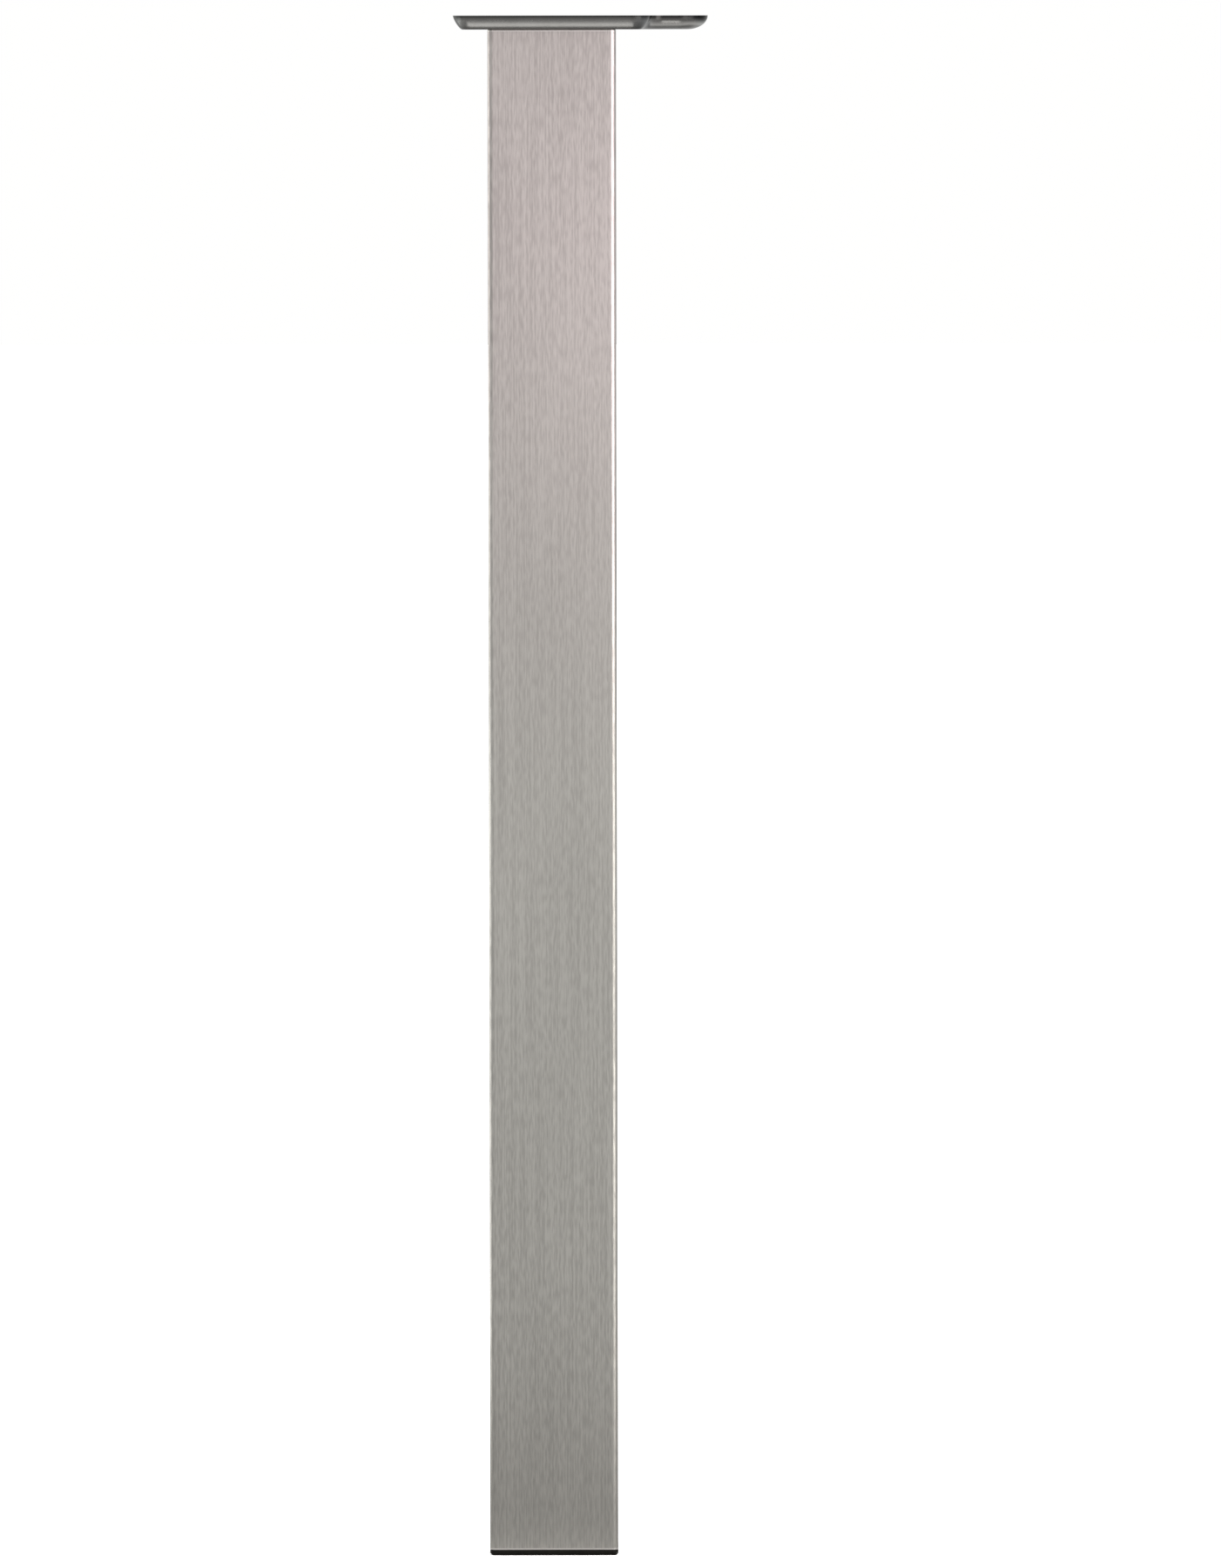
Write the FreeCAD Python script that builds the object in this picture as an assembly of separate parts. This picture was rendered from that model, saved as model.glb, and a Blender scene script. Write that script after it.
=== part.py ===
import FreeCAD, Part
import math
import os

# Square metal table leg with a rimmed screw-on plate and a height-adjusting foot.
# All sizes are in millimetres. The origin is on the tube's axis at the underside of the
# foot, with the foot screwed fully in. +Z is up, the front face looks towards -Y, and the
# plate's lobe reaches towards +X and +Y, which is the inner corner of the table.

# Height from the floor to the tabletop, with the foot fully in
leg_height = 720.0

# Square tube
tube_width = 60.0
tube_wall = 1.5
tube_corner_radius = 2.5
tube_end_chamfer = 0.35

# Mounting plate: a base square round the tube and a lobe square shifted on the diagonal
plate_depth = 6.5
plate_sheet = 2.0
plate_overhang = 16.0
plate_lobe_shift = 27.0
base_corner_radius = 8.5
lobe_corner_radius = 14.0
inner_corner_radius = 6.0
base_rim_inset = 4.3
base_rim_power = 1.34
lobe_rim_inset = 9.5
lobe_rim_power = 2.0

# Angles along the rim's curve where its bands meet, from the tabletop down to the underside
outer_rim_angles = [0.0, 32.0, 62.0, 90.0]
inner_rim_angles = [0.0, 90.0]

# Holes for the wood screws that hold the plate to the tabletop, each through a boss
wood_screw_hole = 5.5
screw_boss_wall = 1.9
base_hole_margin = 10.25
lobe_hole_margin = 16.0
lobe_hole_pitch = 46.0

# Head plate, welded into the tube's top end
head_plate_thickness = 6.0
head_plate_recess = 0.5
head_plate_gap = 0.1

# Screws that join the mounting plate to the head plate
plate_screw_spacing = 36.0
plate_screw_thread = 6.0
plate_screw_length = 10.0
plate_screw_head = 10.5
plate_screw_head_height = 3.3
plate_screw_key = 4.0
plate_screw_key_depth = 2.1
plate_screw_hole = 6.6

# Gap between the smooth cylinders that stand for a thread
thread_gap = 0.05

# How far a rib or web runs into what it joins, and a cut past the face that it opens
join_lap = 1.0
cut_lap = 1.0

# Smallest radius left in a corner
least_corner_radius = 0.2

# Plug in the tube's lower end
plug_flange = 0.9
plug_skirt_rise = 8.4
plug_wall = 2.7
plug_skin_gap = 0.5
plug_rib_gap = 0.05
plug_rib_width = 1.4
plug_rib_root = 0.7
plug_ribs_per_side = 3
plug_rib_spacing = 17.0
plug_lead_in = 3.0
plug_rib_margin = 1.0
plug_lip_height = 3.0
deck_thickness = 4.0
deck_rib_height = 6.0
deck_rib_thickness = 1.8
deck_rib_start = 11.0
nut_pocket_gap = 0.1
nut_pocket_wall = 3.0
nut_pocket_lip = 1.0

# Spindle, its nut and the thin nut that ends its travel
spindle_thread = 10.0
nut_across_flats = 16.0
nut_height = 8.4
stop_nut_height = 5.0
stop_gap = 0.3
spindle_end = 1.2
spindle_key = 6.0
spindle_key_depth = 4.0
spindle_collar = 16.0
spindle_collar_height = 3.0
spindle_clearance = 0.35
foot_travel = 20.0

# Foot pad
foot_rim = 1.5
foot_proud = 0.05
foot_edge_flat = 0.4
foot_floor = 3.5
foot_recess = 0.8
foot_frame_width = 7.0
foot_cross_width = 12.0
key_hole = 8.0
guide_gap = 0.3
guide_wall = 2.0
guide_corner_radius = 3.0
guide_height = 34.0
guide_top_clearance = 4.5
guide_slot_width = 16.0
guide_slot_floor = 12.0
hub_wall = 2.6
hub_height = 5.6
hub_web_drop = 2.0
hub_web_thickness = 1.8
swivel_gap = 0.1
retaining_ring_thickness = 0.8
retaining_ring_gap = 0.05

# Heights of the faces where the pieces meet
tube_bottom = foot_rim + plug_flange
plate_bottom = leg_height - plate_depth
plate_floor = plate_bottom + plate_sheet
tube_top = plate_bottom
head_plate_top = tube_top - head_plate_recess
deck_bottom = foot_rim + guide_height + guide_top_clearance
deck_top = deck_bottom + deck_thickness
plug_top = deck_top + plug_skirt_rise
nut_bottom = deck_bottom - nut_height
stop_nut_bottom = deck_top + foot_travel + stop_gap
spindle_top = stop_nut_bottom + stop_nut_height + spindle_end
collar_bottom = foot_floor + swivel_gap
collar_top = collar_bottom + spindle_collar_height
retaining_ring_bottom = collar_top + swivel_gap

# Half widths in plan
tube_half = tube_width / 2
tube_inside_half = tube_half - tube_wall
tube_inside_radius = max(tube_corner_radius - tube_wall, least_corner_radius)
base_half = tube_half + plate_overhang
lobe_low = plate_lobe_shift - base_half
lobe_high = plate_lobe_shift + base_half
plug_skin_half = tube_inside_half - plug_skin_gap
plug_inside_half = plug_skin_half - plug_wall
guide_half = plug_inside_half - guide_gap

# Radii of the round rooms that the spindle and its collar turn in
spindle_passage = spindle_thread / 2 + spindle_clearance
hub_bore = spindle_collar / 2 + spindle_clearance
hub_radius = hub_bore + hub_wall

# Places of the screws
base_hole = base_half - base_hole_margin
lobe_hole_line = lobe_high - lobe_hole_margin
lobe_hole_first = lobe_low + lobe_hole_margin
plate_screw_half = plate_screw_spacing / 2


def point(x, y, z):
    return FreeCAD.Vector(x, y, z)


def rounded_outline(corners, z):
    # Closed wire through square corners, each given as x, y and its radius
    edges = []
    starts = []
    count = len(corners)
    for i in range(count):
        x, y, radius = corners[i]
        before = corners[i - 1]
        after = corners[(i + 1) % count]
        corner = point(x, y, z)
        back = (point(before[0], before[1], z) - corner).normalize()
        ahead = (point(after[0], after[1], z) - corner).normalize()
        first = corner + back * radius
        last = corner + ahead * radius
        centre = corner + (back + ahead) * radius
        middle = centre - (back + ahead).normalize() * radius
        starts.append(first)
        edges.append(Part.Arc(first, middle, last).toShape())
    sides = []
    for i in range(count):
        end = edges[i].Vertexes[-1].Point
        sides.append(edges[i])
        sides.append(Part.LineSegment(end, starts[(i + 1) % count]).toShape())
    return Part.Wire(sides)


def rounded_square(half, radius, z):
    corners = [
        (-half, -half, radius),
        (half, -half, radius),
        (half, half, radius),
        (-half, half, radius),
    ]
    return rounded_outline(corners, z)


def square_block(half, radius, bottom, top):
    face = Part.Face(rounded_square(half, radius, bottom))
    return face.extrude(point(0, 0, top - bottom))


def cylinder(radius, bottom, top, x=0.0, y=0.0):
    return Part.makeCylinder(radius, top - bottom, point(x, y, bottom))


def ring(outer_radius, inner_radius, bottom, top):
    return cylinder(outer_radius, bottom, top).cut(cylinder(inner_radius, bottom, top))


def box(low_x, high_x, low_y, high_y, bottom, top):
    size = point(high_x - low_x, high_y - low_y, top - bottom)
    return Part.makeBox(size.x, size.y, size.z, point(low_x, low_y, bottom))


def hexagon(across_flats, bottom, top):
    radius = across_flats / math.sqrt(3)
    corners = [
        point(radius * math.cos(math.radians(60 * i)), radius * math.sin(math.radians(60 * i)), bottom)
        for i in range(6)
    ]
    wire = Part.makePolygon(corners + [corners[0]])
    return Part.Face(wire).extrude(point(0, 0, top - bottom))


def moved(shape, x, y):
    copy = shape.copy()
    copy.translate(point(x, y, 0))
    return copy


def turned_round(shape, angle):
    copy = shape.copy()
    copy.rotate(point(0, 0, 0), point(0, 0, 1), angle)
    return copy


def plate_screw_places():
    half = plate_screw_half
    return [(-half, -half), (half, -half), (half, half), (-half, half)]


def wood_screw_places():
    base = [
        (-base_hole, -base_hole),
        (base_hole, -base_hole),
        (base_hole, base_hole),
        (-base_hole, base_hole),
    ]
    lobe = []
    for along in (lobe_hole_first, lobe_hole_first + lobe_hole_pitch):
        lobe.append((lobe_hole_line, along))
        lobe.append((along, lobe_hole_line))
    return base + lobe


def leg_tube():
    tube = square_block(tube_half, tube_corner_radius, tube_bottom, tube_top)
    ends = [
        edge
        for edge in tube.Edges
        if abs(edge.Vertexes[0].Z - edge.Vertexes[-1].Z) < 0.001
    ]
    tube = tube.makeChamfer(tube_end_chamfer, ends)
    low = tube_bottom - cut_lap
    high = tube_top + cut_lap
    return tube.cut(square_block(tube_inside_half, tube_inside_radius, low, high))


def head_plate():
    bottom = head_plate_top - head_plate_thickness
    half = tube_inside_half - head_plate_gap
    plate = square_block(half, tube_inside_radius, bottom, head_plate_top)
    for x, y in plate_screw_places():
        hole_radius = plate_screw_thread / 2
        plate = plate.cut(cylinder(hole_radius, bottom, head_plate_top, x, y))
    return plate


def rim_inset(depth_share, inset, power):
    # How far the rim's curve has come in at a share of its depth below the tabletop
    return inset * (1 - (1 - depth_share ** power) ** (1 / power))


def plate_outline(base_inset, lobe_inset, z):
    base = base_half - base_inset
    low = lobe_low + lobe_inset
    high = lobe_high - lobe_inset
    base_radius = max(base_corner_radius - base_inset, least_corner_radius)
    lobe_radius = max(lobe_corner_radius - lobe_inset, least_corner_radius)
    inner_radius = inner_corner_radius + (base_inset + lobe_inset) / 2
    corners = [
        (-base, -base, base_radius),
        (base, -base, base_radius),
        (base, low, inner_radius),
        (high, low, lobe_radius),
        (high, high, lobe_radius),
        (low, high, lobe_radius),
        (low, base, inner_radius),
        (-base, base, base_radius),
    ]
    return rounded_outline(corners, z)


def plate_form(start_inset, depth, angles):
    # The plate's outer form, or the hollow inside its rim, in bands from the tabletop down
    levels = []
    for angle in angles:
        share = math.sin(math.radians(angle))
        base = rim_inset(share, base_rim_inset - start_inset, base_rim_power)
        lobe = rim_inset(share, lobe_rim_inset - start_inset, lobe_rim_power)
        height = leg_height - depth * share
        levels.append(plate_outline(start_inset + base, start_inset + lobe, height))
    return Part.makeLoft(levels, True, True)


def screw_boss(x, y):
    # Boss on the plate's inside that meets the tabletop
    radius = wood_screw_hole / 2 + screw_boss_wall
    return cylinder(radius, plate_bottom + plate_sheet / 2, leg_height, x, y)


def mounting_plate():
    plate = plate_form(0.0, plate_depth, outer_rim_angles)
    plate = plate.cut(plate_form(plate_sheet, plate_depth - plate_sheet, inner_rim_angles))
    for x, y in wood_screw_places():
        plate = plate.fuse(screw_boss(x, y))
    for x, y in wood_screw_places():
        plate = plate.cut(cylinder(wood_screw_hole / 2, plate_bottom, leg_height, x, y))
    for x, y in plate_screw_places():
        hole = cylinder(plate_screw_hole / 2, plate_bottom, plate_floor, x, y)
        plate = plate.cut(hole)
    return plate.removeSplitter()


def plate_screw():
    # Low head in the plate's hollow, with its shank down into the head plate
    top = plate_floor + plate_screw_head_height
    tip = plate_floor - plate_screw_length
    head = cylinder(plate_screw_head / 2, plate_floor, top)
    shank = cylinder(plate_screw_thread / 2 - thread_gap, tip, plate_floor)
    socket = hexagon(plate_screw_key, top - plate_screw_key_depth, top)
    return head.fuse(shank).cut(socket)


def plate_screws():
    screw = plate_screw()
    return Part.makeCompound([moved(screw, x, y) for x, y in plate_screw_places()])


def plug_rib(offset):
    # Crush rib on the plug's front side, sloped at its upper end for pressing in
    crest = tube_inside_half - plug_rib_gap
    root = plug_skin_half - plug_rib_root
    rib_top = plug_top - plug_rib_margin
    profile = [
        point(offset, -root, tube_bottom),
        point(offset, -crest, tube_bottom),
        point(offset, -crest, rib_top - plug_lead_in),
        point(offset, -plug_skin_half, rib_top),
        point(offset, -root, rib_top),
    ]
    face = Part.Face(Part.makePolygon(profile + [profile[0]]))
    face.translate(point(-plug_rib_width / 2, 0, 0))
    return face.extrude(point(plug_rib_width, 0, 0))


def plug_side_ribs():
    first = -plug_rib_spacing * (plug_ribs_per_side - 1) / 2
    ribs = []
    for side in range(4):
        for i in range(plug_ribs_per_side):
            rib = plug_rib(first + plug_rib_spacing * i)
            ribs.append(turned_round(rib, 90 * side))
    return ribs


def deck_ribs():
    # Ribs on the deck, from the room round the spindle out to the skirt's four sides
    half = deck_rib_thickness / 2
    reach = plug_inside_half + join_lap
    top = deck_top + deck_rib_height
    rib = box(deck_rib_start, reach, -half, half, deck_top - join_lap, top)
    return [turned_round(rib, 90 * side) for side in range(4)]


def bottom_plug():
    lip = tube_inside_half - plug_rib_gap
    inside = plug_inside_half
    inside_radius = guide_corner_radius + guide_gap
    plug = square_block(plug_skin_half, tube_inside_radius, tube_bottom, plug_top)
    lip_block = square_block(lip, tube_inside_radius, tube_bottom, tube_bottom + plug_lip_height)
    flange = square_block(tube_half, tube_corner_radius, foot_rim, tube_bottom)
    plug = plug.fuse([lip_block, flange] + plug_side_ribs())
    plug = plug.cut(square_block(inside, inside_radius, foot_rim, deck_bottom))
    plug = plug.cut(square_block(inside, inside_radius, deck_top, plug_top))
    # Hexagonal pocket for the nut under the deck, and the ribs on top of it
    pocket_bottom = nut_bottom - nut_pocket_lip
    pocket_inside = nut_across_flats + 2 * nut_pocket_gap
    pocket = hexagon(pocket_inside + 2 * nut_pocket_wall, pocket_bottom, deck_bottom)
    plug = plug.fuse([pocket] + deck_ribs())
    plug = plug.cut(hexagon(pocket_inside, pocket_bottom, deck_bottom))
    plug = plug.cut(cylinder(spindle_passage, deck_bottom, deck_top))
    return plug.removeSplitter()


def plain_nut(bottom, height, bore_radius):
    top = bottom + height
    return hexagon(nut_across_flats, bottom, top).cut(cylinder(bore_radius, bottom, top))


def spindle_nut():
    return plain_nut(nut_bottom, nut_height, spindle_thread / 2)


def end_stop_nut():
    # Locked on the spindle, so its bore is the spindle's own size
    return plain_nut(stop_nut_bottom, stop_nut_height, spindle_thread / 2 - thread_gap)


def adjusting_spindle():
    collar = cylinder(spindle_collar / 2, collar_bottom, collar_top)
    thread = cylinder(spindle_thread / 2 - thread_gap, collar_top, spindle_top)
    socket = hexagon(spindle_key, collar_bottom, collar_bottom + spindle_key_depth)
    return collar.fuse(thread).cut(socket)


def pad_guide():
    # Square guide that slides in the plug, slotted in the middle of each side
    top = foot_rim + guide_height
    guide = square_block(guide_half, guide_corner_radius, foot_rim, top)
    inside = guide_half - guide_wall
    inside_radius = max(guide_corner_radius - guide_wall, least_corner_radius)
    guide = guide.cut(square_block(inside, inside_radius, foot_rim, top))
    half = guide_slot_width / 2
    slot = box(inside - cut_lap, guide_half + cut_lap, -half, half, guide_slot_floor, top)
    for side in range(4):
        guide = guide.cut(turned_round(slot, 90 * side))
    return guide


def pad_hub():
    # Hub round the spindle's collar, tied to the guide's sides by low webs
    bottom = foot_floor - join_lap
    top = foot_floor + hub_height
    start = hub_radius - join_lap
    reach = guide_half - guide_wall / 2
    half = hub_web_thickness / 2
    web = box(start, reach, -half, half, bottom, top - hub_web_drop)
    webs = [turned_round(web, 90 * side) for side in range(4)]
    return cylinder(hub_radius, bottom, top).fuse(webs)


def pad_recesses():
    # Four shallow pockets under the foot, between its frame and its cross
    outer = tube_half - foot_frame_width
    inner = foot_cross_width / 2
    pocket = box(inner, outer, inner, outer, 0, foot_recess)
    return Part.makeCompound([turned_round(pocket, 90 * side) for side in range(4)])


def foot_pad():
    half = tube_half + foot_proud
    pad = square_block(half, tube_corner_radius, 0, foot_rim)
    lower = [edge for edge in pad.Edges if max(v.Z for v in edge.Vertexes) < 0.001]
    pad = pad.makeChamfer(foot_rim - foot_edge_flat, lower)
    floor_radius = guide_corner_radius - guide_wall / 2
    floor = square_block(guide_half - guide_wall / 2, floor_radius, foot_rim / 2, foot_floor)
    pad = pad.fuse([floor, pad_guide(), pad_hub()])
    pad = pad.cut(cylinder(hub_bore, foot_floor, foot_floor + hub_height))
    pad = pad.cut(cylinder(key_hole / 2, 0, foot_floor))
    pad = pad.cut(pad_recesses())
    return pad.removeSplitter()


def retaining_ring():
    # Pressed into the hub over the collar
    outer = hub_bore - retaining_ring_gap
    top = retaining_ring_bottom + retaining_ring_thickness
    return ring(outer, spindle_passage, retaining_ring_bottom, top)


def main():
    nodes = {
        "leg_tube": leg_tube(),
        "head_plate": head_plate(),
        "mounting_plate": mounting_plate(),
        "plate_screws": plate_screws(),
        "bottom_plug": bottom_plug(),
        "spindle_nut": spindle_nut(),
        "foot_pad": foot_pad(),
        "retaining_ring": retaining_ring(),
        "adjusting_spindle": adjusting_spindle(),
        "end_stop_nut": end_stop_nut(),
    }
    os.makedirs("parts", exist_ok=True)
    for name, shape in nodes.items():
        shape.exportStep("parts/" + name + ".step")
        bounds = shape.BoundBox
        print(name, "solids", len(shape.Solids), "valid", shape.isValid(),
              "volume", round(shape.Volume, 1), "z", round(bounds.ZMin, 2), round(bounds.ZMax, 2))


main()
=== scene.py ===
import math

import bmesh
import bpy
from mathutils import Matrix, Vector


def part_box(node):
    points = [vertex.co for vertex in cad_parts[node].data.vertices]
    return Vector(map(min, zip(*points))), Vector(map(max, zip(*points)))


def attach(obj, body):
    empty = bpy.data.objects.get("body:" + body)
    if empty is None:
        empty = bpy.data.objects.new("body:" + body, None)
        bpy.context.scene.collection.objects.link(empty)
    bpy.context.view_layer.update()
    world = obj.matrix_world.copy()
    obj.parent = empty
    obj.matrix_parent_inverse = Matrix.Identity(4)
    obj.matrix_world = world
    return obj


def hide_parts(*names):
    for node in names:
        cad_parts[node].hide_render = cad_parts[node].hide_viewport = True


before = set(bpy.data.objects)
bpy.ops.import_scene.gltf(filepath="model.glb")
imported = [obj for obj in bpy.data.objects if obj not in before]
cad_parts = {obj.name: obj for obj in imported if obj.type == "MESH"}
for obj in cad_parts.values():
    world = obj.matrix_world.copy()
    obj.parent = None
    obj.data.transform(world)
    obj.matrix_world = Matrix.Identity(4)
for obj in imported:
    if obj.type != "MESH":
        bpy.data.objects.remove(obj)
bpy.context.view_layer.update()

# Square metal table leg with its screw-on plate and adjusting foot. Everything is in metres,
# with the leg's axis on Z, its front face towards -Y and the plate's lobe towards +X and +Y.

MM = 0.001
EDGE_BREAK = 0.3 * MM
SAME_HEIGHT = 0.001 * MM
MERGE_DISTANCE = 0.002 * MM

# The photograph's size and where the leg's ends come in it, in pixels
PHOTO_WIDTH = 1402
PHOTO_HEIGHT = 1800
PHOTO_LEG_TOP_X = 633.6
PHOTO_LEG_FOOT_X = 636.5
PHOTO_RIM_TOP_Y = 17.7
PHOTO_FOOT_Y = 1785.6
CAMERA_DISTANCE = 8.0
CAMERA_HEIGHT = 0.717

# The tube's section
TUBE_WALL = 1.5 * MM
TUBE_CORNER_RADIUS = 2.5 * MM
TUBE_END_CHAMFER = 0.35 * MM

# The mounting plate: base square and lobe square, and how far the rim curves in on each
PLATE_SHEET = 2.0 * MM
BASE_CORNER_RADIUS = 8.5 * MM
LOBE_CORNER_RADIUS = 14.0 * MM
INNER_CORNER_RADIUS = 6.0 * MM
BASE_RIM_INSET = 4.3 * MM
BASE_RIM_POWER = 1.34
LOBE_RIM_INSET = 9.5 * MM
LOBE_RIM_POWER = 2.0
OUTER_RIM_LEVELS = 12
INNER_RIM_LEVELS = 6
CORNER_STEPS = 12
WOOD_SCREW_HOLE = 2.75 * MM
WOOD_SCREW_BOSS = 4.65 * MM
BASE_HOLE = 35.75 * MM
LOBE_HOLE_LINE = 57.0 * MM
LOBE_HOLES_ALONG = (-3.0 * MM, 43.0 * MM)
PLATE_SCREW_HALF = 18.0 * MM
PLATE_SCREW_HOLE = 3.3 * MM

# The plate screws, which are four alike
SCREW_HEAD_RADIUS = 5.25 * MM
SCREW_HEAD_HEIGHT = 3.3 * MM
SCREW_SOCKET_ACROSS = 4.0 * MM
SCREW_SOCKET_DEPTH = 2.1 * MM
SCREW_THREAD = 2.95 * MM
SCREW_PITCH = 1.0 * MM
SCREW_HEAD_STEP = 0.2 * MM
SCREW_TIP_GAP = 0.1 * MM

# The adjusting spindle and the two nuts on it. The stop nut is locked on the thread.
COLLAR_HEIGHT = 3.0 * MM
SPINDLE_THREAD = 4.95 * MM
SPINDLE_PITCH = 1.5 * MM
SPINDLE_THREAD_START = 1.5 * MM
SPINDLE_TIP_GAP = 0.2 * MM
KEY_SOCKET_ACROSS = 6.0 * MM
KEY_SOCKET_DEPTH = 4.0 * MM
CAPTIVE_NUT_BORE = 5.0 * MM
NUT_CHAMFER = 0.8 * MM
NUT_FACE_INSET = 0.2 * MM

# A thread in shares of its pitch: how deep its core and the ridge's root lie, and how high the
# ridge's crest and its end are
THREAD_CORE_DEPTH = 0.5
THREAD_ROOT_DEPTH = 0.55
THREAD_CREST = (0.42, 0.56)
THREAD_END = 0.98


# Pieces and their shading

def crisp_normals(mesh, crease):
    """Smooth shading in which a large flat face keeps its own normal beside a rounded edge."""
    limit = math.cos(math.radians(crease))
    around = [[] for vertex in mesh.vertices]
    for face in mesh.polygons:
        face.use_smooth = True
        for vertex in face.vertices:
            around[vertex].append((face.normal.copy(), face.area))
    normals = []
    for face in mesh.polygons:
        own = face.normal
        for vertex in face.vertices:
            total = Vector((0.0, 0.0, 0.0))
            for normal, area in around[vertex]:
                if normal.dot(own) > limit:
                    total += normal * area
            normals.append(total.normalized() if total.length > 0 else own)
    mesh.normals_split_custom_set(normals)


def finished(name, shape, body, node, material, crease=35.0):
    """Turns a bmesh into a piece that rides on a body and stands for a CAD node."""
    mesh = bpy.data.meshes.new(name)
    shape.to_mesh(mesh)
    shape.free()
    mesh.materials.append(material)
    crisp_normals(mesh, crease)
    piece = bpy.data.objects.new(name, mesh)
    bpy.context.scene.collection.objects.link(piece)
    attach(piece, body)
    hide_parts(node)
    return piece


def dressed(node, body, material, crease=32.0):
    """A merged copy of a CAD node with clean shading, in place of its loose triangles."""
    shape = bmesh.new()
    shape.from_mesh(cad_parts[node].data)
    bmesh.ops.remove_doubles(shape, verts=shape.verts, dist=MERGE_DISTANCE)
    return finished(node + "_dressed", shape, body, node, material, crease)


# Outlines, circles and the walls between them

def new_edges(shape, make):
    """The edges that a step adds to the shape."""
    before = set(shape.edges)
    make()
    return [edge for edge in shape.edges if edge not in before]


def outline(shape, corners, z):
    """Closed outline through right-angled corners, each given as x, y and its radius."""
    def make():
        points = [shape.verts.new((x, y, z)) for x, y, radius in corners]
        shape.faces.new(points)
        for point, (x, y, radius) in zip(points, corners):
            bmesh.ops.bevel(
                shape, geom=[point], offset=radius, offset_type="OFFSET", affect="VERTICES",
                segments=CORNER_STEPS, profile=0.5, material=-1,
            )
    loop = new_edges(shape, make)
    bmesh.ops.delete(shape, geom=[loop[0].link_faces[0]], context="FACES_ONLY")
    return loop


def square(half, radius):
    return [(-half, -half, radius), (half, -half, radius), (half, half, radius), (-half, half, radius)]


def ring(shape, x, y, z, radius, segments=32, turn=0.0):
    """Circle of edges round an upright axis."""
    place = Matrix.Translation((x, y, z)) @ Matrix.Rotation(turn, 4, "Z")
    return new_edges(shape, lambda: bmesh.ops.create_circle(
        shape, cap_ends=False, segments=segments, radius=radius, matrix=place,
    ))


def sheet(shape, loops):
    """Flat sheet inside the first loop and outside the others."""
    edges = [edge for loop in loops for edge in loop]
    bmesh.ops.triangle_fill(shape, edges=edges, use_beauty=True, use_dissolve=False)


def walls(shape, loops):
    """Joins each loop to the next, with a flat sheet where both are at one height."""
    for first, second in zip(loops, loops[1:]):
        if abs(first[0].verts[0].co.z - second[0].verts[0].co.z) < SAME_HEIGHT:
            sheet(shape, [first, second])
        else:
            bmesh.ops.bridge_loops(shape, edges=first + second)


def cap(shape, loop):
    bmesh.ops.edgeloop_fill(shape, edges=loop)


def turned(shape, x, y, steps, segments=32):
    """Rings of the given heights and radii, joined by walls from first to last."""
    loops = [ring(shape, x, y, z, radius, segments) for z, radius in steps]
    walls(shape, loops)
    return loops


def face_out(shape):
    bmesh.ops.recalc_face_normals(shape, faces=shape.faces[:])


# The tube

def make_tube(material):
    low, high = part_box("leg_tube")
    half = high.x
    cut = TUBE_END_CHAMFER
    inside = square(half - TUBE_WALL, TUBE_CORNER_RADIUS - TUBE_WALL)
    outside = square(half, TUBE_CORNER_RADIUS)
    chamfered = square(half - cut, TUBE_CORNER_RADIUS - cut)
    shape = bmesh.new()
    loops = [
        outline(shape, inside, low.z), outline(shape, chamfered, low.z),
        outline(shape, outside, low.z + cut), outline(shape, outside, high.z - cut),
        outline(shape, chamfered, high.z), outline(shape, inside, high.z),
    ]
    walls(shape, loops + loops[:1])
    face_out(shape)
    finished("brushed_tube", shape, "leg", "leg_tube", material)


# The mounting plate

def rim_inset(share, inset, power):
    """How far a curved rim has come in after a share of its depth."""
    return inset * (1 - (1 - share ** power) ** (1 / power))


def plate_outline(shape, start, share, z):
    base_in = start + rim_inset(share, BASE_RIM_INSET - start, BASE_RIM_POWER)
    lobe_in = start + rim_inset(share, LOBE_RIM_INSET - start, LOBE_RIM_POWER)
    corner_low, corner_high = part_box("mounting_plate")
    base = -corner_low.x - base_in
    low = corner_high.x + 2 * corner_low.x + lobe_in
    high = corner_high.x - lobe_in
    base_radius = BASE_CORNER_RADIUS - base_in
    lobe_radius = LOBE_CORNER_RADIUS - lobe_in
    inner_radius = INNER_CORNER_RADIUS + (base_in + lobe_in) / 2
    return outline(shape, [
        (-base, -base, base_radius), (base, -base, base_radius), (base, low, inner_radius),
        (high, low, lobe_radius), (high, high, lobe_radius), (low, high, lobe_radius),
        (low, base, inner_radius), (-base, base, base_radius),
    ], z)


def rim(shape, start, top, depth, levels):
    loops = []
    for level in range(levels + 1):
        share = math.sin(math.pi / 2 * level / levels)
        loops.append(plate_outline(shape, start, share, top - depth * share))
    walls(shape, loops)
    return loops[0], loops[-1]


def wood_screw_places():
    places = [(x, y) for x in (-BASE_HOLE, BASE_HOLE) for y in (-BASE_HOLE, BASE_HOLE)]
    for along in LOBE_HOLES_ALONG:
        places += [(LOBE_HOLE_LINE, along), (along, LOBE_HOLE_LINE)]
    return places


def plate_screw_places():
    half = PLATE_SCREW_HALF
    return [(x, y) for x in (-half, half) for y in (-half, half)]


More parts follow.
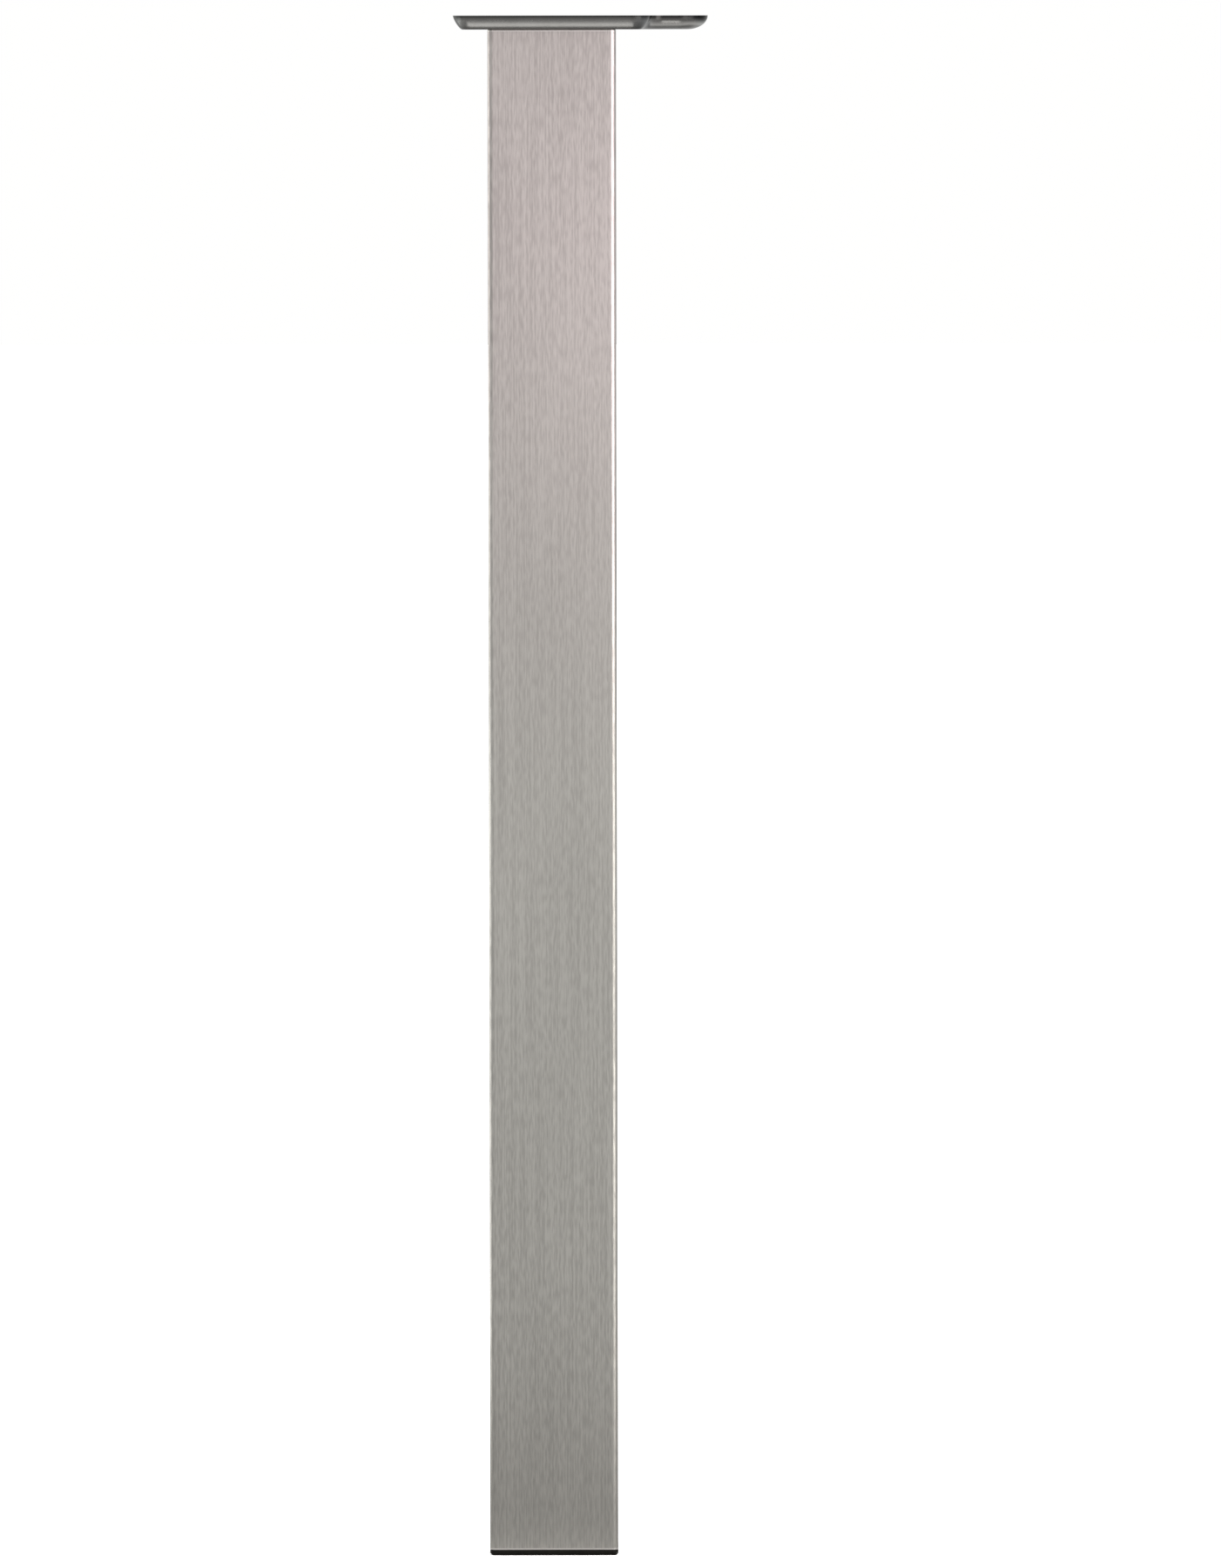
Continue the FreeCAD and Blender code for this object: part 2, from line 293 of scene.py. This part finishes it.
def make_plate(rim_material, inner_material):
    """Pressed plate whose outer rim has a material of its own, apart from all its other faces."""
    bottom, top = (corner.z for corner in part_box("mounting_plate"))
    floor = bottom + PLATE_SHEET
    shape = bmesh.new()
    outer_top, outer_bottom = rim(shape, 0.0, top, top - bottom, OUTER_RIM_LEVELS)
    rim_faces = set(shape.faces)
    inner_top, inner_bottom = rim(shape, PLATE_SHEET, top, top - floor, INNER_RIM_LEVELS)
    walls(shape, [outer_top, inner_top])
    underside = [outer_bottom]
    hollow = [inner_bottom]
    for x, y in wood_screw_places():
        loops = turned(shape, x, y, [
            (bottom, WOOD_SCREW_HOLE + EDGE_BREAK), (bottom + EDGE_BREAK, WOOD_SCREW_HOLE),
            (top, WOOD_SCREW_HOLE), (top, WOOD_SCREW_BOSS - EDGE_BREAK),
            (top - EDGE_BREAK, WOOD_SCREW_BOSS), (floor, WOOD_SCREW_BOSS),
        ])
        underside.append(loops[0])
        hollow.append(loops[-1])
    for x, y in plate_screw_places():
        loops = turned(shape, x, y, [(bottom, PLATE_SCREW_HOLE), (floor, PLATE_SCREW_HOLE)])
        underside.append(loops[0])
        hollow.append(loops[-1])
    sheet(shape, underside)
    sheet(shape, hollow)
    face_out(shape)
    for face in shape.faces:
        face.material_index = 0 if face in rim_faces else 1
    plate = finished("rimmed_plate", shape, "leg", "mounting_plate", rim_material, 40.0)
    plate.data.materials.append(inner_material)


# Threaded pieces

def thread(shape, x, y, radius, pitch, low, high, segments):
    """Helical ridge laid round a core, from low to high."""
    root = radius - THREAD_ROOT_DEPTH * pitch
    turns = int((high - low) / pitch) - 1
    crest_low, crest_high = THREAD_CREST
    profile = [
        (root, 0.0), (radius, crest_low * pitch), (radius, crest_high * pitch), (root, THREAD_END * pitch),
    ]
    ridge = bmesh.new()
    points = [ridge.verts.new((x + across, y, low + up)) for across, up in profile]
    edges = [ridge.edges.new((points[i - 1], points[i])) for i in range(len(points))]
    bmesh.ops.spin(
        ridge, geom=points + edges, cent=(x, y, 0.0), axis=(0.0, 0.0, 1.0),
        dvec=(0.0, 0.0, pitch / segments), angle=2 * math.pi * turns, steps=segments * turns,
        use_merge=False, use_normal_flip=False, use_duplicate=False,
    )
    ends = [edge for edge in ridge.edges if len(edge.link_faces) == 1]
    bmesh.ops.holes_fill(ridge, edges=ends, sides=0)
    face_out(ridge)
    mesh = bpy.data.meshes.new("ridge")
    ridge.to_mesh(mesh)
    ridge.free()
    shape.from_mesh(mesh)
    bpy.data.meshes.remove(mesh)


def hex_socket(shape, x, y, across, mouth_z, end_z):
    """Hexagonal socket with a flat end. Its mouth is returned for the face around it."""
    corner = across / 2 / math.cos(math.pi / 6)
    mouth = ring(shape, x, y, mouth_z, corner, 6)
    end = ring(shape, x, y, end_z, corner, 6)
    walls(shape, [mouth, end])
    cap(shape, end)
    return mouth


def make_spindle(material):
    low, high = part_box("adjusting_spindle")
    radius = high.x
    collar_top = low.z + COLLAR_HEIGHT
    core = SPINDLE_THREAD - THREAD_CORE_DEPTH * SPINDLE_PITCH
    shape = bmesh.new()
    loops = turned(shape, 0.0, 0.0, [
        (low.z, radius - EDGE_BREAK), (low.z + EDGE_BREAK, radius), (collar_top - EDGE_BREAK, radius),
        (collar_top, radius - EDGE_BREAK), (collar_top, core),
        (high.z - EDGE_BREAK, core), (high.z, core - EDGE_BREAK),
    ], segments=48)
    mouth = hex_socket(shape, 0.0, 0.0, KEY_SOCKET_ACROSS, low.z, low.z + KEY_SOCKET_DEPTH)
    sheet(shape, [loops[0], mouth])
    cap(shape, loops[-1])
    face_out(shape)
    thread(shape, 0.0, 0.0, SPINDLE_THREAD, SPINDLE_PITCH,
           collar_top + SPINDLE_THREAD_START, high.z - SPINDLE_TIP_GAP, segments=24)
    finished("threaded_spindle", shape, "spindle", "adjusting_spindle", material, 40.0)


def make_plate_screws(material):
    low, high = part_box("plate_screws")
    seat = high.z - SCREW_HEAD_HEIGHT
    core = SCREW_THREAD - THREAD_CORE_DEPTH * SCREW_PITCH
    shape = bmesh.new()
    for x, y in plate_screw_places():
        loops = turned(shape, x, y, [
            (high.z, SCREW_HEAD_RADIUS - 2 * EDGE_BREAK),
            (high.z - SCREW_HEAD_STEP, SCREW_HEAD_RADIUS - EDGE_BREAK),
            (high.z - 2 * EDGE_BREAK, SCREW_HEAD_RADIUS), (seat, SCREW_HEAD_RADIUS), (seat, core),
            (low.z + EDGE_BREAK, core), (low.z, core - EDGE_BREAK),
        ])
        mouth = hex_socket(shape, x, y, SCREW_SOCKET_ACROSS, high.z, high.z - SCREW_SOCKET_DEPTH)
        sheet(shape, [loops[0], mouth])
        cap(shape, loops[-1])
    face_out(shape)
    for x, y in plate_screw_places():
        thread(shape, x, y, SCREW_THREAD, SCREW_PITCH, low.z + SCREW_TIP_GAP, seat, segments=16)
    finished("socket_screws", shape, "leg", "plate_screws", material, 40.0)


def make_nut(name, body, bore, node, material):
    """Hexagon nut whose corners are chamfered at both ends."""
    low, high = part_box(node)
    flat = min(high.x, high.y)
    corner = flat / math.cos(math.pi / 6)
    end = flat - NUT_FACE_INSET
    turn = 0.0 if high.x > high.y else math.pi / 2
    shape = bmesh.new()
    hexagons = [ring(shape, 0.0, 0.0, z, radius, 6, turn) for z, radius in (
        (low.z, end), (low.z + NUT_CHAMFER, corner), (high.z - NUT_CHAMFER, corner), (high.z, end),
    )]
    bores = turned(shape, 0.0, 0.0, [
        (low.z, bore + EDGE_BREAK), (low.z + EDGE_BREAK, bore),
        (high.z - EDGE_BREAK, bore), (high.z, bore + EDGE_BREAK),
    ])
    walls(shape, hexagons)
    sheet(shape, [hexagons[0], bores[0]])
    sheet(shape, [hexagons[-1], bores[-1]])
    face_out(shape)
    finished(name, shape, body, node, material, 30.0)


# Materials

# The tube's dark and light tones low and high on it, the upper ones tinted warmer as painted warm
# light on the tube's top and the two sets also differing in grain contrast, the heights between
# which they change, and a painted glint along its cut ends, which begins and is full at these
# distances in from the end
LOWER_TUBE_TONES = ((0.294, 0.288, 0.27, 1), (0.444, 0.435, 0.407, 1))
UPPER_TUBE_PAINTED_WARM_TONES = ((0.292, 0.272, 0.261, 1), (0.451, 0.42, 0.404, 1))
TUBE_TONE_CHANGE = (0.36, 0.62)
END_GLINT_TONE = (0.58, 0.565, 0.545, 1)
LOWER_END_GLINT = (1.3 * MM, 0.7 * MM)
UPPER_END_GLINT = (1.2 * MM, 0.4 * MM)

# The plate's rim mirrors a dark tabletop that isn't built, so that reflection is painted: its
# tones are laid on by height up the rim, each given as a share of that height and a grey
BASE_RIM_PAINTED_REFLECTION = ((0.05, 0.15), (0.3, 0.26), (0.6, 0.27), (0.95, 0.03))
LOBE_RIM_PAINTED_REFLECTION = ((0.05, 0.1), (0.18, 0.25), (0.32, 0.72), (0.56, 0.26), (0.85, 0.04))
# Painted shades, multiplied in where the zones below are set
NOOK_SHADE = (0.66, 0.68, 0.7, 1)
LOBE_CORNER_SHADE = (0.3, 0.31, 0.32, 1)
RIM_END_SHADE = (0.36, 0.38, 0.38, 1)

# Where the rim's zones of painted reflection and painted shade begin and are full: from the leg's
# axis, in from the plate's side for the two ends, and as a share of the rim's height for the
# corner's top
BASE_FRONT = (-30.0 * MM, -36.0 * MM)
LOBE_FRONT = (2.0 * MM, -4.0 * MM)
NOOK_REACH = (36.0 * MM, 40.0 * MM)
LOBE_REACH = (45.5 * MM, 46.5 * MM)
LOBE_CORNER = (58.0 * MM, 64.0 * MM)
LOBE_CORNER_TOP = (0.5, 0.8)
LOBE_CORNER_RISE = 0.06
LEFT_END = (5.0 * MM, 2.0 * MM)
RIGHT_END = (6.0 * MM, 2.0 * MM)


class Nodes:
    """Short calls for building a shader or a node group."""

    def __init__(self, tree):
        self.tree = tree

    def add(self, kind, **settings):
        node = self.tree.nodes.new(kind)
        for name, value in settings.items():
            setattr(node, name, value)
        return node

    def feed(self, socket, value):
        if isinstance(value, bpy.types.NodeSocket):
            self.tree.links.new(value, socket)
        else:
            socket.default_value = value

    def stretched(self, place, scale):
        node = self.add("ShaderNodeMapping")
        self.feed(node.inputs["Scale"], scale)
        self.feed(node.inputs["Vector"], place)
        return node.outputs["Vector"]

    def noise(self, place, scale, detail=3.0, roughness=0.6):
        node = self.add("ShaderNodeTexNoise")
        self.feed(node.inputs["Scale"], scale)
        self.feed(node.inputs["Detail"], detail)
        self.feed(node.inputs["Roughness"], roughness)
        self.feed(node.inputs["Vector"], place)
        return node.outputs["Fac"]

    def spread(self, value, low, high, out_low=0.0, out_high=1.0):
        node = self.add("ShaderNodeMapRange")
        self.feed(node.inputs["From Min"], low)
        self.feed(node.inputs["From Max"], high)
        self.feed(node.inputs["To Min"], out_low)
        self.feed(node.inputs["To Max"], out_high)
        self.feed(node.inputs["Value"], value)
        return node.outputs["Result"]

    def math(self, operation, a, b):
        node = self.add("ShaderNodeMath", operation=operation)
        self.feed(node.inputs[0], a)
        self.feed(node.inputs[1], b)
        return node.outputs["Value"]

    def mix(self, factor, a, b, blend="MIX"):
        node = self.add("ShaderNodeMix", data_type="RGBA", blend_type=blend)
        self.feed(node.inputs["Factor"], factor)
        self.feed(node.inputs[6], a)
        self.feed(node.inputs[7], b)
        return node.outputs[2]

    def blend(self, *shares):
        """Sum of values, each multiplied by its share."""
        (value, share), rest = shares[0], shares[1:]
        part = self.math("MULTIPLY", value, share)
        return self.math("ADD", part, self.blend(*rest)) if rest else part

    def darkened(self, mask, colour, shade):
        """A colour that is multiplied by a shade as far as the mask is set."""
        return self.mix(mask, colour, self.mix(1.0, colour, shade, "MULTIPLY"))

    def tones(self, value, stops):
        """Grey tones along a value, each stop given as position and grey."""
        node = self.add("ShaderNodeValToRGB")
        ramp = node.color_ramp
        while len(ramp.elements) < len(stops):
            ramp.elements.new(0.5)
        for element, (position, grey) in zip(ramp.elements, stops):
            element.position = position
            element.color = (grey, grey, grey, 1)
        self.feed(node.inputs["Fac"], value)
        return node.outputs["Color"]


def new_group(name, inputs, outputs):
    group = bpy.data.node_groups.new(name, "ShaderNodeTree")
    for label, kind, value in inputs:
        socket = group.interface.new_socket(label, in_out="INPUT", socket_type=kind)
        socket.default_value = value
    for label in outputs:
        group.interface.new_socket(label, in_out="OUTPUT", socket_type="NodeSocketFloat")
    nodes = Nodes(group)
    return group, nodes, nodes.add("NodeGroupInput"), nodes.add("NodeGroupOutput")


def belt_grain():
    """Short fine scratches along Z, as a grinding belt leaves on a tube."""
    group, nodes, entry, leave = new_group(
        "belt_grain", [("Vector", "NodeSocketVector", (0, 0, 0))], ["Scratches", "Streaks", "Clouds"],
    )
    place = entry.outputs["Vector"]
    short = nodes.noise(nodes.stretched(place, (1200, 1200, 150)), 1.0, 1.0, 0.5)
    long = nodes.noise(nodes.stretched(place, (1100, 1100, 9)), 1.0, 1.0, 0.5)
    both = nodes.blend((short, 0.58), (long, 0.42))
    nodes.feed(leave.inputs["Scratches"], nodes.spread(both, 0.4, 0.6))
    streaks = nodes.noise(nodes.stretched(place, (300, 300, 4)), 1.0, 2.0, 0.5)
    nodes.feed(leave.inputs["Streaks"], nodes.spread(streaks, 0.35, 0.65))
    clouds = nodes.noise(nodes.stretched(place, (30, 30, 6)), 1.0, 2.0, 0.5)
    nodes.feed(leave.inputs["Clouds"], nodes.spread(clouds, 0.35, 0.65))
    return group


def metal_skin():
    """Soft clouds and fine pits, for plated and for milled metal."""
    group, nodes, entry, leave = new_group(
        "metal_skin",
        [("Vector", "NodeSocketVector", (0, 0, 0)), ("Cloud Scale", "NodeSocketFloat", 120.0),
         ("Pit Scale", "NodeSocketFloat", 2400.0)],
        ["Clouds", "Pits"],
    )
    place = entry.outputs["Vector"]
    nodes.feed(leave.inputs["Clouds"],
               nodes.spread(nodes.noise(place, entry.outputs["Cloud Scale"], 3.0, 0.6), 0.3, 0.7))
    nodes.feed(leave.inputs["Pits"],
               nodes.spread(nodes.noise(place, entry.outputs["Pit Scale"], 2.0, 0.5), 0.3, 0.7))
    return group


class Surface:
    """A Principled material that reads the object's own coordinates."""

    def __init__(self, name, metallic):
        self.material = bpy.data.materials.new(name)
        self.material.use_nodes = True
        self.nodes = Nodes(self.material.node_tree)
        self.shader = self.material.node_tree.nodes["Principled BSDF"]
        self.shader.inputs["Metallic"].default_value = metallic
        self.place = self.nodes.add("ShaderNodeTexCoord").outputs["Object"]

    def group(self, tree, **values):
        node = self.nodes.add("ShaderNodeGroup", node_tree=tree)
        self.nodes.feed(node.inputs["Vector"], self.place)
        for name, value in values.items():
            self.nodes.feed(node.inputs[name.replace("_", " ")], value)
        return node.outputs

    def axis(self, name):
        node = self.nodes.add("ShaderNodeSeparateXYZ")
        self.nodes.feed(node.inputs["Vector"], self.place)
        return node.outputs[name]

    def paint(self, colour, roughness):
        self.nodes.feed(self.shader.inputs["Base Color"], colour)
        self.nodes.feed(self.shader.inputs["Roughness"], roughness)

    def bump(self, height, strength, distance):
        node = self.nodes.add("ShaderNodeBump")
        self.nodes.feed(node.inputs["Strength"], strength)
        self.nodes.feed(node.inputs["Distance"], distance)
        self.nodes.feed(node.inputs["Height"], height)
        self.nodes.feed(self.shader.inputs["Normal"], node.outputs["Normal"])


def brushed_tube_metal(grain):
    surface = Surface("brushed_tube_metal", 1.0)
    nodes = surface.nodes
    outputs = surface.group(grain)
    tone = nodes.blend((outputs["Scratches"], 0.74), (outputs["Streaks"], 0.12), (outputs["Clouds"], 0.14))
    lower = nodes.mix(tone, *LOWER_TUBE_TONES)
    # The upper tones carry a painted warm tint of the light on the tube's top.
    upper = nodes.mix(tone, *UPPER_TUBE_PAINTED_WARM_TONES)
    height = surface.axis("Z")
    colour = nodes.mix(nodes.spread(height, *TUBE_TONE_CHANGE), lower, upper)
    low, high = (corner.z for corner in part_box("leg_tube"))
    # Painted glint: a lighter band along each cut end of the tube.
    ends = nodes.math("MAXIMUM", nodes.spread(height, *(low + inward for inward in LOWER_END_GLINT)),
                      nodes.spread(height, *(high - inward for inward in UPPER_END_GLINT)))
    surface.paint(nodes.mix(ends, colour, END_GLINT_TONE),
                  nodes.spread(outputs["Scratches"], 0.0, 1.0, 0.34, 0.28))
    surface.shader.inputs["Anisotropic"].default_value = 0.6
    surface.bump(outputs["Scratches"], 0.4, 0.01 * MM)
    return surface.material


def satin_plating(skin):
    """The rim's plating with painted reflection and painted shade, laid on in zones: base part, nook beside
    the lobe, lobe, its corner, two ends.
    """
    surface = Surface("satin_plating", 1.0)
    nodes = surface.nodes
    outputs = surface.group(skin, Cloud_Scale=90.0, Pit_Scale=2400.0)
    plated = nodes.mix(outputs["Clouds"], (0.92, 0.92, 0.90, 1), (1.0, 1.0, 0.98, 1))
    low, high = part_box("mounting_plate")
    up_the_rim = nodes.spread(surface.axis("Z"), low.z, high.z)
    across = surface.axis("X")
    back = surface.axis("Y")
    reach = nodes.math("MAXIMUM", across, back)
    front_of_base = nodes.spread(back, *BASE_FRONT)
    front_of_lobe = nodes.spread(back, *LOBE_FRONT)
    # Painted reflection up the rim: darkest at its top, lighter across the middle, dim at the bottom.
    base_painted_reflection = nodes.tones(up_the_rim, BASE_RIM_PAINTED_REFLECTION)
    # Painted shade in the nook beside the lobe.
    base = nodes.darkened(nodes.spread(reach, *NOOK_REACH), base_painted_reflection, NOOK_SHADE)
    lobe_corner = nodes.math("MULTIPLY", nodes.spread(across, *LOBE_CORNER), front_of_lobe)
    risen = nodes.math("MULTIPLY", lobe_corner, LOBE_CORNER_RISE)
    lobe_painted_reflection = nodes.tones(nodes.math("SUBTRACT", up_the_rim, risen), LOBE_RIM_PAINTED_REFLECTION)
    # Painted shade on the top of the lobe's outer corner.
    corner_top = nodes.math("MULTIPLY", lobe_corner, nodes.spread(up_the_rim, *LOBE_CORNER_TOP))
    lobe = nodes.darkened(corner_top, lobe_painted_reflection, LOBE_CORNER_SHADE)
    rim_painted_reflection = nodes.mix(nodes.spread(reach, *LOBE_REACH), base, lobe)
    # Painted shade at the rim's two front ends.
    left_end = nodes.math("MULTIPLY", front_of_base,
                          nodes.spread(across, *(low.x + inward for inward in LEFT_END)))
    right_end = nodes.math("MULTIPLY", front_of_lobe,
                           nodes.spread(across, *(high.x - inward for inward in RIGHT_END)))
    ends = nodes.math("MAXIMUM", left_end, right_end)
    surface.paint(nodes.darkened(ends, nodes.mix(1.0, plated, rim_painted_reflection, "MULTIPLY"), RIM_END_SHADE),
                  nodes.spread(outputs["Pits"], 0.0, 1.0, 0.2, 0.28))
    surface.bump(outputs["Pits"], 0.12, 0.02 * MM)
    return surface.material


def skinned(name, metallic, skin, clouds, pits, tones, roughness, strength, depth):
    """A surface that soft clouds tone and fine pits roughen."""
    surface = Surface(name, metallic)
    nodes = surface.nodes
    outputs = surface.group(skin, Cloud_Scale=clouds, Pit_Scale=pits)
    surface.paint(nodes.mix(outputs["Clouds"], *tones), nodes.spread(outputs["Pits"], 0.0, 1.0, *roughness))
    surface.bump(outputs["Pits"], strength, depth)
    return surface


def inner_plating(skin):
    """The plate's hollow, bosses and underside, duller than its rim."""
    return skinned("dull_plating", 1.0, skin, clouds=90.0, pits=2000.0,
                   tones=((0.3, 0.3, 0.29, 1), (0.4, 0.4, 0.385, 1)),
                   roughness=(0.36, 0.48), strength=0.15, depth=0.02 * MM).material


def plated_steel(skin):
    return skinned("zinc_plated_steel", 1.0, skin, clouds=260.0, pits=3000.0,
                   tones=((0.5, 0.51, 0.53, 1), (0.62, 0.61, 0.58, 1)),
                   roughness=(0.25, 0.4), strength=0.1, depth=0.02 * MM).material


def mill_steel(skin):
    return skinned("mill_steel", 1.0, skin, clouds=140.0, pits=1800.0,
                   tones=((0.2, 0.19, 0.18, 1), (0.34, 0.33, 0.32, 1)),
                   roughness=(0.4, 0.6), strength=0.2, depth=0.03 * MM).material


def moulded_plastic(skin):
    surface = skinned("black_moulded_plastic", 0.0, skin, clouds=120.0, pits=3200.0,
                      tones=((0.0035, 0.0035, 0.0025, 1), (0.007, 0.007, 0.005, 1)),
                      roughness=(0.45, 0.6), strength=0.25, depth=0.03 * MM)
    surface.shader.inputs["Specular IOR Level"].default_value = 0.12
    return surface.material


# The studio. Reflections see the floor lightest beside the leg, where a pool of light is painted,
# and far off, and darker between, where shade is painted, by distance from the leg's axis, and
# the camera sees it brighter still.

FLOOR_HALF = 30.0
FLOOR_PAINTED_LIGHT_BESIDE_LEG = (0.78, 0.78, 0.76, 1)
FLOOR_PAINTED_SHADE_AROUND = (0.4, 0.4, 0.39, 1)
FLOOR_FAR_OFF = (0.85, 0.85, 0.84, 1)
FLOOR_TO_CAMERA = (2.2, 2.2, 2.18, 1)
BESIDE_LEG = (0.13, 0.045)
FAR_OFF = (0.6, 1.3)
STUDIO_LIGHT = (0.85, 0.85, 0.85, 1)
STUDIO_BACKGROUND = (1.0, 1.0, 0.995, 1)


def make_floor():
    """Floor that goes down with the foot, so the leg stands on it at every height."""
    shape = bmesh.new()
    bmesh.ops.create_grid(shape, x_segments=1, y_segments=1, size=FLOOR_HALF)
    mesh = bpy.data.meshes.new("studio_floor")
    shape.to_mesh(mesh)
    shape.free()
    floor = bpy.data.objects.new("studio_floor", mesh)
    bpy.context.scene.collection.objects.link(floor)
    material = bpy.data.materials.new("pale_floor")
    material.use_nodes = True
    nodes = Nodes(material.node_tree)
    shader = material.node_tree.nodes["Principled BSDF"]
    seen = nodes.add("ShaderNodeLightPath").outputs["Is Camera Ray"]
    length = nodes.add("ShaderNodeVectorMath", operation="LENGTH")
    nodes.feed(length.inputs[0], nodes.add("ShaderNodeTexCoord").outputs["Object"])
    away = length.outputs["Value"]
    # Painted shade in a ring round the leg and a painted pool of light just beside it, for reflections.
    around = nodes.mix(nodes.spread(away, *FAR_OFF), FLOOR_PAINTED_SHADE_AROUND, FLOOR_FAR_OFF)
    tone = nodes.mix(nodes.spread(away, *BESIDE_LEG), around, FLOOR_PAINTED_LIGHT_BESIDE_LEG)
    nodes.feed(shader.inputs["Base Color"], nodes.mix(seen, tone, FLOOR_TO_CAMERA))
    shader.inputs["Roughness"].default_value = 1.0
    shader.inputs["Specular IOR Level"].default_value = 0.0
    mesh.materials.append(material)
    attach(floor, "foot")


def make_world():
    world = bpy.data.worlds.new("pale_studio")
    bpy.context.scene.world = world
    world.use_nodes = True
    nodes = Nodes(world.node_tree)
    background = world.node_tree.nodes["Background"]
    path = nodes.add("ShaderNodeLightPath")
    seen = nodes.math("MAXIMUM", path.outputs["Is Camera Ray"],
                      nodes.math("MAXIMUM", path.outputs["Is Glossy Ray"],
                                 path.outputs["Is Transmission Ray"]))
    nodes.feed(background.inputs["Color"], nodes.mix(seen, STUDIO_LIGHT, STUDIO_BACKGROUND))


def softbox(name, place, target, width, height, power, colour, spread=180.0):
    """Flat lamp aimed at a target. Its spread is the angle of its cone in degrees."""
    light = bpy.data.lights.new(name, "AREA")
    light.spread = math.radians(spread)
    light.shape = "RECTANGLE"
    light.size = width
    light.size_y = height
    light.energy = power
    light.color = colour
    lamp = bpy.data.objects.new(name, light)
    lamp.location = place
    lamp.rotation_euler = (Vector(target) - Vector(place)).to_track_quat("-Z", "Y").to_euler()
    bpy.context.scene.collection.objects.link(lamp)


def make_lights():
    softbox("front_box", place=(0.34, -1.05, 0.62), target=(0, 0, 0.62),
            width=0.3, height=0.2, power=0.55, colour=(1.0, 0.86, 0.9))
    softbox("upper_right_box", place=(0.76, -0.8, 0.62), target=(0, 0, 0.62),
            width=0.85, height=0.42, power=5.25, colour=(1.0, 0.88, 0.92))
    softbox("lower_right_box", place=(0.76, -0.8, 0.22), target=(0, 0, 0.22),
            width=0.8, height=0.4, power=2.3, colour=(1.0, 0.97, 0.92))
    softbox("left_box", place=(-0.95, 0.26, 0.42), target=(0, 0, 0.42),
            width=0.9, height=0.95, power=4.0, colour=(1.0, 0.99, 0.97))
    softbox("floor_box", place=(-0.1, -0.28, 0.03), target=(-0.1, -0.28, 1.0),
            width=0.42, height=0.26, power=0.185, colour=(1.0, 0.98, 0.95), spread=100.0)


def make_camera():
    """Camera whose tilt and lens put the rim's top and the foot at their heights in the photograph."""
    rim_top = Vector((0.0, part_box("mounting_plate")[0].y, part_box("mounting_plate")[1].z))
    foot = Vector((0.0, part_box("foot_pad")[0].y, 0.0))
    up_angle = math.atan2(rim_top.z - CAMERA_HEIGHT, CAMERA_DISTANCE + rim_top.y)
    down_angle = math.atan2(foot.z - CAMERA_HEIGHT, CAMERA_DISTANCE + foot.y)
    above = PHOTO_HEIGHT / 2 - PHOTO_RIM_TOP_Y
    below = PHOTO_FOOT_Y - PHOTO_HEIGHT / 2
    tilt = (up_angle + down_angle) / 2
    for attempt in range(4):
        focal = (above + below) / (math.tan(up_angle - tilt) - math.tan(down_angle - tilt))
        tilt = up_angle - math.atan(above / focal)
    across = PHOTO_WIDTH / 2 - (PHOTO_LEG_TOP_X + PHOTO_LEG_FOOT_X) / 2
    lean = math.atan2(PHOTO_LEG_FOOT_X - PHOTO_LEG_TOP_X, above + below)
    place = Vector((across / focal * CAMERA_DISTANCE, -CAMERA_DISTANCE, CAMERA_HEIGHT))
    view = Vector((0.0, math.cos(tilt), math.sin(tilt)))
    data = bpy.data.cameras.new("photo_camera")
    data.clip_end = 100.0
    data.lens = data.sensor_width * focal / PHOTO_HEIGHT
    camera = bpy.data.objects.new("photo_camera", data)
    camera.location = place
    camera.rotation_euler = view.to_track_quat("-Z", "Y").to_euler()
    camera.rotation_euler.rotate_axis("Z", -lean)
    bpy.context.scene.collection.objects.link(camera)
    bpy.context.scene.camera = camera


def main():
    skin = metal_skin()
    tube_metal = brushed_tube_metal(belt_grain())
    zinc = plated_steel(skin)
    mill = mill_steel(skin)
    plastic = moulded_plastic(skin)
    make_tube(tube_metal)
    make_plate(satin_plating(skin), inner_plating(skin))
    make_plate_screws(zinc)
    make_spindle(zinc)
    make_nut("captive_nut", "leg", CAPTIVE_NUT_BORE, "spindle_nut", zinc)
    make_nut("stop_nut", "spindle", SPINDLE_THREAD, "end_stop_nut", zinc)
    dressed("head_plate", "leg", mill)
    dressed("bottom_plug", "leg", plastic)
    dressed("foot_pad", "foot", plastic, crease=50.0)
    dressed("retaining_ring", "foot", zinc)
    make_floor()
    make_world()
    make_lights()
    make_camera()
    bpy.context.scene.view_settings.view_transform = "Standard"


main()
